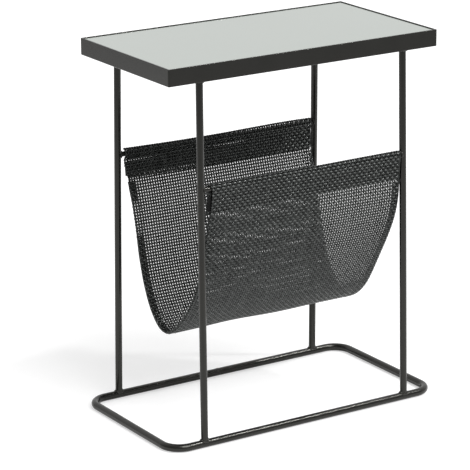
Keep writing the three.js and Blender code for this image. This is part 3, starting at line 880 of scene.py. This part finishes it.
def ripple(x, run):
    """The mesh's own slight unevenness, dying out at the rods and easing at the side edges."""
    share = (x - CLOTH_X0) / WIDTH
    free = smoothstep(run, SHEET_START + 25, SHEET_START + 110)
    free = free * smoothstep(run, SHEET_END - 25, SHEET_END - 110)
    wave = 0.9 * np.sin(2 * math.pi * (1.3 * share + 0.2) + run / 95.0)
    wave = wave + 0.6 * np.sin(2 * math.pi * (2.1 * share + 0.55) - run / 61.0)
    return free * wave * (0.35 + 0.65 * np.sin(np.clip(share, 0, 1) * math.pi))


# how far each sleeve stands off the top of its rod: x, and the height there
LOOSE_FRONT = ((-170, 40, 110, 175), (0.2, 0.3, 0.8, 1.1))
LOOSE_BACK = (
    (-170, -163, -150, -130, -100, -60, -20, 20, 60, 110, 150, 175),
    (4.6, 3.4, 3.0, 2.6, 1.9, 1.3, 1.2, 1.4, 2.1, 2.8, 2.6, 2.0),
)


def surface(x, run):
    """Middle of the cloth at x (m,) and run (k,): points, pocket-side normals, tangents along
    the run and directions across it, each (m, k, 3)."""
    x = np.asarray(x, float)[:, None]
    run = np.asarray(run, float)
    share = (x - CLOTH_X0) / WIDTH

    def mix(at_left, at_right):
        return (1 - share) * at_left + share * at_right

    left, right, skew = lines_at(run)
    y = mix(left[:, 0], right[:, 0])
    z = mix(left[:, 1], right[:, 1])
    over_rod = np.clip((z - ROD_Z) / SLEEVE_R, 0, 1)
    is_back = run > SLING_LEN / 2
    z = z + over_rod * np.where(is_back, np.interp(x, *LOOSE_BACK), np.interp(x, *LOOSE_FRONT))
    points = np.stack([x + mix(skew[:, 0], skew[:, 1]), y, z], -1)

    step = 0.4
    before = lines_at(np.clip(run - step, 0, SLING_LEN))
    after = lines_at(np.clip(run + step, 0, SLING_LEN))
    left_move, right_move = after[0] - before[0], after[1] - before[1]
    moves = [mix(left_move[:, k], right_move[:, k]) for k in (0, 1)]
    tangent = unit(np.stack([np.zeros_like(y), *moves], -1))
    slopes = [np.broadcast_to((right - left)[:, k] / WIDTH, y.shape) for k in (0, 1)]
    across = np.stack([np.ones_like(y), *slopes], -1)
    normal = unit(np.cross(across, tangent))
    return points + normal * ripple(x, run)[..., None], normal, tangent, unit(across)


# ------------------------------------------------------------------ the woven strands
# "reach" runs across the developed cloth: 0 at the left fold, FLAT_W at the right one, and past
# them round each fold into its hem. Warps run along the sling and wefts across it.
FOLD_R = 0.95
FLAT_W = WIDTH - 2 * FOLD_R
COLUMNS, PHASE = 76, 0.42  # warps, and the first one's distance from the fold in pitches
PITCH_X = FLAT_W / (COLUMNS - 1 + 2 * PHASE)
ROWS = int(round(SLING_LEN / 4.72))
PITCH_RUN = SLING_LEN / ROWS
WAVE = 0.5  # how far a strand rides over and under
WARP_W, WEFT_W, CORD_W, STRAND_T = 3.05, 2.84, 2.6, 1.05
HEM_COLUMNS = 3
HEM_START, HEM_END = SHEET_START + 6, SHEET_END - 6
STRAND_SIDES = 6
SUB = 3  # stations for each crossing


def hem_drift(reach, run):
    """The hems' creep across the layer under them, which opens or closes the holes. (m, k)"""
    reach, run = np.asarray(reach, float)[:, None], np.asarray(run, float)[None, :]
    closing = smoothstep(run, SHEET_END - 125, SHEET_END - 70)
    closing = closing * smoothstep(run, SHEET_END - 22, SHEET_END - 50)
    left = PITCH_X * (0.26 - 0.50 * closing + 0.05 * np.sin(run / 47.0))
    right = PITCH_X * (0.27 + 0.06 * np.sin(run / 55.0 + 1.0))
    in_left = smoothstep(reach, 0, -PITCH_X)
    in_right = smoothstep(reach - FLAT_W, 0, PITCH_X)
    return -left * in_left + right * in_right


def developed(reach, run):
    """Like surface, from reach. Past a fold the point turns round it and comes back along the
    pocket side, and the normal turns with it."""
    reach = np.asarray(reach, float)
    on_cloth = np.clip(reach, 0, FLAT_W)
    beyond, sign = np.abs(reach - on_cloth), np.sign(reach - on_cloth)
    theta = np.clip(beyond / FOLD_R, 0, math.pi)
    past = np.maximum(beyond - math.pi * FOLD_R, 0)
    x = CLOTH_X0 + FOLD_R + on_cloth + sign * (FOLD_R * np.sin(theta) - past)
    height = FOLD_R * (1 - np.cos(theta))
    points, normal, tangent, across = surface(x, run)
    drift = hem_drift(reach, run)
    points = points + normal * height[:, None, None] + across * drift[..., None]
    cos, sin = np.cos(theta)[:, None, None], (np.sin(theta) * sign)[:, None, None]
    return points, normal * cos - across * sin, tangent


def strand_object(name, rings, material, lane_margin, end_margin, tone=None):
    """Closed strands straight from (strands, stations, sides, 3) rings, wound outwards. Each
    strand has its own upright lane in the UV map."""
    count, stations, sides = rings.shape[:3]
    index = np.arange(count * stations * sides).reshape(count, stations, sides)
    following = np.roll(index, -1, 2)
    quads = [index[:, :-1], following[:, :-1], following[:, 1:], index[:, 1:]]
    quads = np.stack(quads, -1).reshape(-1, 4)
    caps = [ring[::-1] for ring in index[:, 0]] + list(index[:, -1])
    loops = np.concatenate([quads.ravel(), *caps]).astype(np.int32)
    sizes = np.array([4] * len(quads) + [sides] * len(caps), np.int32)
    starts = np.concatenate([[0], np.cumsum(sizes)[:-1]]).astype(np.int32)

    lane = (np.arange(count) + lane_margin)[:, None, None] / count
    fold = np.abs(np.arange(sides) * 2.0 / sides - 1)[None, None, :]
    across = lane + fold * (1 - 2 * lane_margin) / count
    along = np.linspace(end_margin, 1 - end_margin, stations)[None, :, None]
    uv = np.stack([np.broadcast_to(part, index.shape) for part in (across, along)], -1)

    mesh = bpy.data.meshes.new(name)
    mesh.vertices.add(index.size)
    mesh.vertices.foreach_set("co", (rings * MM).astype(np.float32).ravel())
    mesh.loops.add(len(loops))
    mesh.loops.foreach_set("vertex_index", loops)
    mesh.polygons.add(len(sizes))
    mesh.polygons.foreach_set("loop_start", starts)
    # the tone attribute holds each strand's random tone and its painted highlight and shade
    if tone is not None:
        attribute = mesh.attributes.new("tone", "FLOAT", "POINT")
        attribute.data.foreach_set("value", tone.astype(np.float32).ravel())
    layer = mesh.uv_layers.new(name="OFBake")
    layer.data.foreach_set("uv", uv.reshape(-1, 2)[loops].astype(np.float32).ravel())
    mesh.update(calc_edges=True)
    mesh.validate(clean_customdata=False)
    mesh.shade_smooth()
    mesh.materials.append(material)
    return link(name, mesh)


def painted_knot_shading(run):
    """How strongly the painted highlight and shade on the knots stand out: most on the sleeves and
    high on the front.
    """
    front = 0.3 + 0.7 * (1 - smoothstep(run, SHEET_START + 70, SHEET_START + 170))
    back = 0.3 + 0.7 * smoothstep(run, SHEET_END - 60, SHEET_END)
    return np.where(run < SLING_LEN / 2, front, back)


def strand_tone_and_painted_light(count, stations, seed, lift, painted_shading_strength):
    """Tone for each vertex: a random tone for each strand plus painted light. Wefts give their lift,
    -1 to 1: their crowns get painted highlight, their valleys painted shade, and the warps get painted
    shade."""
    draw = np.random.RandomState(seed)
    each = draw.rand(count, 1) * 0.7 + 0.15
    knots = np.linspace(0, stations, 14)
    drift = [np.interp(np.arange(stations), knots, draw.rand(14)) for _ in range(count)]
    tone = np.repeat((each + np.stack(drift) * 0.3)[:, :, None], STRAND_SIDES, 2)
    # wefts: painted highlight on the outward crowns, painted shade in the valleys
    if lift is not None:
        outward = np.sign(circle(STRAND_SIDES, offset=0.5)[1])
        crown = np.broadcast_to(lift * painted_shading_strength, (count, stations))[:, :, None] * outward
        return 0.35 * tone + 0.65 * (0.5 + 0.55 * crown)
    # warps: painted shade, darkest where the knots' painted shading is strongest
    weight = np.broadcast_to(painted_shading_strength, (count, stations))[:, :, None]
    return weight * (0.08 + 0.25 * tone) + (1 - weight) * (0.3 + 0.35 * tone)


def add_strands(name, centre, normal, width, seed, lift=None, painted_shading_strength=1.0, nodes=()):
    """Flattened yarn strands along axis 1 of centre (strands, stations, 3)."""
    tangent = unit(np.gradient(centre, axis=1))
    up = square_to(normal, tangent)
    aside = np.cross(tangent, up) * (width / 2 / math.cos(math.pi / 6))
    rings = sweep(centre, aside, up * (STRAND_T / 2), STRAND_SIDES, offset=0.5)
    tone = strand_tone_and_painted_light(*centre.shape[:2], seed, lift, painted_shading_strength)
    ob = strand_object(name, rings, YARN, lane_margin=0.08, end_margin=0.004, tone=tone)
    add(ob, "sling", "mesh_fabric", *nodes)


def wander(indices, seed, at, low, high, knots):
    """A seeded random wander for each strand, (strands, stations)."""
    places = np.linspace(low, high, knots)
    return np.stack(
        [np.interp(at, places, np.random.RandomState(seed + int(i)).randn(knots)) for i in indices]
    )


def add_warps(name, columns, run, seed, nodes=()):
    """Warps go over one row and under the next."""
    points, normal, tangent = developed(PITCH_X * (columns + PHASE), run)
    phase = math.pi * (run[None, :] / PITCH_RUN - 0.5) + math.pi * columns[:, None]
    jitter = 0.05 * wander(columns, 900, run, low=0, high=SLING_LEN, knots=60)
    aside = np.cross(tangent, normal) * jitter[..., None]
    centre = points + normal * (WAVE * np.cos(phase))[..., None] + aside
    # painted knot shading: darker warps on the sleeves and high on the front
    painted_shading_strength = painted_knot_shading(run)[None, :]
    add_strands(name, centre, normal, WARP_W, seed, painted_shading_strength=painted_shading_strength, nodes=nodes)


run_all = np.arange(ROWS * SUB + 1) / SUB * PITCH_RUN
run_all[0] += 0.2
run_all[-1] -= 0.2
for g, columns in enumerate(np.array_split(np.arange(COLUMNS), 3)):
    nodes = ("sling_cloth",) if g == 0 else ()
    add_warps("sling_mesh_warp_%d" % (g + 1), columns, run_all, seed=100 + g, nodes=nodes)

# hems: more warps, folded to the pocket side between the sleeves
hem_first, hem_last = math.ceil(HEM_START / PITCH_RUN), math.floor(HEM_END / PITCH_RUN)
run_hem = run_all[hem_first * SUB : hem_last * SUB + 1]
hem_count = np.arange(HEM_COLUMNS)
hem_columns = np.concatenate([-1 - hem_count, COLUMNS + hem_count])
add_warps("sling_mesh_warp_hems", hem_columns, run_hem, seed=140)

# the sleeves' right ends have one more cord, lying beyond the last warp by the last value
for name, start, end, beyond in (
    ("front", 0.4, HEM_START + 2, 0.95),
    ("back", HEM_END - 2, SLING_LEN - 0.4, 0.2),
):
    run_cord = np.linspace(start, end, int((end - start) / PITCH_RUN * SUB))
    points, normal, tangent = developed(np.array([FLAT_W - 0.05]), run_cord)
    aside = np.cross(normal, tangent)
    points = points + aside * beyond * (1 if aside[..., 0].mean() > 0 else -1)
    add_strands("sleeve_end_cord_%s" % name, points, normal, CORD_W, seed=150 + int(start))


def weft_stations(hem):
    """Reach at the columns and between them, and round the folds if there is a hem."""
    reach = PITCH_X * (np.arange(-1, COLUMNS * SUB) / SUB + PHASE)
    reach = reach[(reach > 0.3) & (reach < FLAT_W - 0.3)]
    if not hem:
        return np.concatenate([[-0.15], reach, [FLAT_W + 0.15]])
    half_turn = math.pi * FOLD_R
    far = PITCH_X * ((np.arange(0, (HEM_COLUMNS - 1) * SUB + 1)) / SUB + 1 - PHASE)
    far = far[far > half_turn + 0.3]
    end = PITCH_X * (HEM_COLUMNS - PHASE) + WARP_W / 2 + 0.5
    past_fold = np.concatenate([np.linspace(0, half_turn, 9), far, [end]])
    return np.concatenate([-past_fold[::-1], reach, FLAT_W + past_fold])


def add_wefts(name, rows, hem, seed):
    reach = weft_stations(hem)
    points, normal, tangent = developed(reach, row_run[rows])
    lift = -np.cos(math.pi * (reach[:, None] / PITCH_X - PHASE) + math.pi * rows[None, :])
    jitter = 0.07 * wander(rows, 1300, reach, low=-20, high=FLAT_W + 20, knots=50).T
    centre = points + normal * (WAVE * lift)[..., None] + tangent * jitter[..., None]
    centre, normal = np.swapaxes(centre, 0, 1), np.swapaxes(normal, 0, 1)
    # painted knot shading: brighter weft crowns and darker valleys on the sleeves and high on the
    # front
    painted_shading_strength = painted_knot_shading(row_run[rows])[:, None]
    add_strands(name, centre, normal, WEFT_W, seed, lift=lift.T, painted_shading_strength=painted_shading_strength)


row_run = PITCH_RUN * (np.arange(ROWS) + 0.5)
in_hem = (row_run > run_hem[0] + 0.5) & (row_run < run_hem[-1] - 0.5)
add_wefts("sling_mesh_weft_sleeves", np.nonzero(~in_hem)[0], hem=False, seed=200)
for g, rows in enumerate(np.array_split(np.nonzero(in_hem)[0], 3)):
    add_wefts("sling_mesh_weft_%d" % (g + 1), rows, hem=True, seed=210 + g)

# ------------------------------------------------------------------ closure tapes
TAPE_STEPS = 60


def build_tape(kind, where, side, layer):
    """A thin strip with soft, slightly wavy edges, in layer 1 or 2 in from the outer cloth."""
    depth = CLOTH_T / 2 + TAPE_GAP + TAPE_T / 2 + (layer - 1) * (TAPE_T + TAPE_GAP)
    shift = flap_shift(side, 2) if kind == "hook" else (0.0, 0.0)
    x0, x1 = CLOTH_X0 + TAPE_INSET + shift[0], CLOTH_X1 - TAPE_INSET + shift[1]
    heights = np.linspace(TAPE_Z0, TAPE_Z1, 9)
    edges = (heights[0], heights[-1])
    draw = np.random.RandomState(300 + side + layer)
    places = np.linspace(0, 1, TAPE_STEPS + 1)
    wave = np.interp(places, np.linspace(0, 1, 16), draw.randn(16)) * 0.25
    stack = []
    for i in range(TAPE_STEPS + 1):
        x = x0 + (x1 - x0) * i / TAPE_STEPS
        share = (x - CLOTH_X0) / WIDTH
        ring = []
        for face, face_heights in ((1, heights), (-1, heights[::-1])):
            for z in face_heights:
                y = (1 - share) * outer_y(SLING_LEFT, side, z)
                y += share * outer_y(SLING_RIGHT, side, z)
                half = TAPE_T / 2 * (0.45 if z in edges else 1.0)
                y += face * half - side * depth * LAYER_SLACK
                ring.append((x, y, z + (wave[i] if z in edges else 0)))
        stack.append(ring)
    tape = mesh_object("%s_tape_pile_%s" % (kind, where), *skin(stack), TAPE, sharp=60)
    add(tape, "sling", "closure_tape", "%s_tape_%s" % (kind, where))


for where, side in (("front", -1), ("back", 1)):
    for kind, layer in (("loop", 1), ("hook", 2)):
        build_tape(kind, where, side, layer)

# ------------------------------------------------------------------ stitching
STITCH_PITCH, STITCH_L, STITCH_R = 4.1, 3.0, 0.28
STITCH_TAPER = np.array([0.35, 0.8, 1, 1, 1, 0.8, 0.35])
STITCH_SINK = 0.05
HEM_STITCH_INSET, BAND_STITCH_INSET = 12.6, 2.2
SKIN = WAVE + STRAND_T / 2  # from the cloth's middle to its face


def add_stitches(name, points, normals, along):
    """A row of thread stitches: each dips into the cloth at its ends."""
    k = np.linspace(-1, 1, len(STITCH_TAPER))
    lift = (1 - k**4) * 0.34 - 0.22
    along_part = along[:, None, :] * (k * STITCH_L / 2)[None, :, None]
    centre = points[:, None, :] + along_part + normals[:, None, :] * lift[None, :, None]
    radius = (STITCH_R * STITCH_TAPER)[None, :, None]
    aside = np.cross(along, normals)
    rings = sweep(centre, radius * aside[:, None, :], radius * normals[:, None, :], sides=6)
    ob = strand_object(name, rings, THREAD, lane_margin=0.1, end_margin=0.02)
    add(ob, "sling", "mesh_fabric")


for where, x in (("left", CLOTH_X0 + HEM_STITCH_INSET), ("right", CLOTH_X1 - HEM_STITCH_INSET)):
    points, normal, tangent, _ = surface([x], np.arange(run_hem[0] + 3, run_hem[-1] - 3, STITCH_PITCH))
    for face, sign, height in (("outer", -1, SKIN), ("pocket", 1, SKIN + 2 * FOLD_R)):
        on_face = points[0] + normal[0] * sign * (height - STITCH_SINK)
        add_stitches("hem_stitches_%s_%s" % (where, face), on_face, normal[0] * sign, tangent[0])


def run_at_z(side, z):
    """Run of the outer layer at a height in a sleeve."""
    if side < 0:
        start, end = (FLAP_POINTS + ARC_POINTS - 1) * PER, SLEEVE_POINTS * PER + 40
    else:
        sheet_end = (SLEEVE_POINTS + SHEET_POINTS) * PER
        start, end = sheet_end - 50, sheet_end + 4 * PER
    return DENSE_RUN[start + np.argmin(np.abs(DENSE_MID[start:end, 1] - z))]


for where, side in (("front", -1), ("back", 1)):
    for row, z in (("upper", TAPE_Z1 - BAND_STITCH_INSET), ("lower", TAPE_Z0 + BAND_STITCH_INSET)):
        x = np.arange(CLOTH_X0 + 3.5, CLOTH_X1 - 3.5, STITCH_PITCH)
        points, normal, _, across = surface(x, [run_at_z(side, z)])
        on_face = points[:, 0] - normal[:, 0] * (SKIN - STITCH_SINK)
        add_stitches("band_stitches_%s_%s" % (where, row), on_face, -normal[:, 0], across[:, 0])


# ------------------------------------------------------------------ floor
def floor_material():
    """A white sweep: near white to the camera, while the object is lit by a bright patch."""
    mat = Material("floor_white")
    seen = mat.node("LightPath").outputs["Is Camera Ray"]
    patch_centre = (0.3, 0.5, 0)
    away = mat.node("VectorMath", {1: patch_centre, 0: mat.place}, operation="DISTANCE")
    patch = mat.rescale(away.outputs["Value"], low=0.9, high=0.42, start=1.2, end=3.0)
    paper = mat.rescale(mat.noise(scale=1.3, detail=2), low=0.58, high=0.60)
    shade = mat.mix("FLOAT", seen, patch, paper)
    glow_to_camera = 0.50
    mat.set({
        "Base Color": mat.node("CombineColor", {0: shade, 1: shade, 2: shade}).outputs[0],
        "Emission Color": (1, 1, 1, 1),
        "Emission Strength": mat.math("MULTIPLY", seen, glow_to_camera),
        "Roughness": 0.9,
        "Specular IOR Level": 0.0,
    })
    return mat.material


FLOOR_HALF, FLOOR_Z = 14, -0.0004  # metres
floor_mesh = bpy.data.meshes.new("floor")
floor_corners = [
    (sx * FLOOR_HALF, sy * FLOOR_HALF, FLOOR_Z) for sx, sy in ((-1, -1), (1, -1), (1, 1), (-1, 1))
]
floor_mesh.from_pydata(floor_corners, [], [(0, 1, 2, 3)])
floor_mesh.materials.append(floor_material())
link("floor", floor_mesh)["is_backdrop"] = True


# ------------------------------------------------------------------ light
def sun(name, energy, degrees, direction):
    """A sun lamp of an angular size, shining along the direction."""
    data = bpy.data.lights.new(name, "SUN")
    data.energy = energy
    data.angle = math.radians(degrees)
    ob = link(name, data)
    ob.rotation_mode = "QUATERNION"
    ob.rotation_quaternion = Vector(direction).to_track_quat("-Z", "Y")


# a big softbox far above and in front
sun("key", energy=2.35, degrees=40, direction=(-0.11, 0.62, -0.777))
# a narrow softbox high on the right, for the line of light along the bars
sun("strip", energy=0.7, degrees=4, direction=(-0.5, 0.35, -0.79))


def build_world():
    """White to the camera; as light, a white sweep behind the object and a darker room before."""
    world = bpy.data.worlds.new("studio")
    bpy.context.scene.world = world
    world.use_nodes = True
    sky = Shader(world.node_tree, "Background")
    sweep_direction = (0.45, 0.80, 0.40)
    toward = sky.node(
        "VectorMath",
        {1: sweep_direction, 0: sky.coordinates["Generated"]},
        operation="DOT_PRODUCT",
    ).outputs["Value"]
    glow = sky.rescale(toward, low=0.35, high=0.85, start=-0.3, end=0.9, curve="SMOOTHSTEP")
    seen = sky.node("LightPath").outputs["Is Camera Ray"]
    white = 1.0
    sky.set({"Color": (1, 1, 1, 1), "Strength": sky.mix("FLOAT", seen, glow, white)})


build_world()

# ------------------------------------------------------------------ camera
camera_data = bpy.data.cameras.new("camera")
camera = link("camera", camera_data)
forward = Vector((0.515820, 0.805570, -0.291523)).normalized()
right = Vector((0.841138, -0.540787, -0.006057))
right = (right - forward * right.dot(forward)).normalized()
pose = Matrix((right, right.cross(forward), -forward)).transposed().to_4x4()
pose.translation = Vector((-2.108748, -3.221681, 1.443215))
camera.matrix_world = pose
camera_data.sensor_width = 36
camera_data.lens = 198.4393532
camera_data.shift_x, camera_data.shift_y = -0.00106382979, 0.00106382979
camera_data.clip_start, camera_data.clip_end = 0.05, 200
scene = bpy.context.scene
scene.camera = camera
scene.view_settings.view_transform = "Standard"
scene.view_settings.look = "None"
scene.cycles.pixel_filter_width = 1.1

low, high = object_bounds()
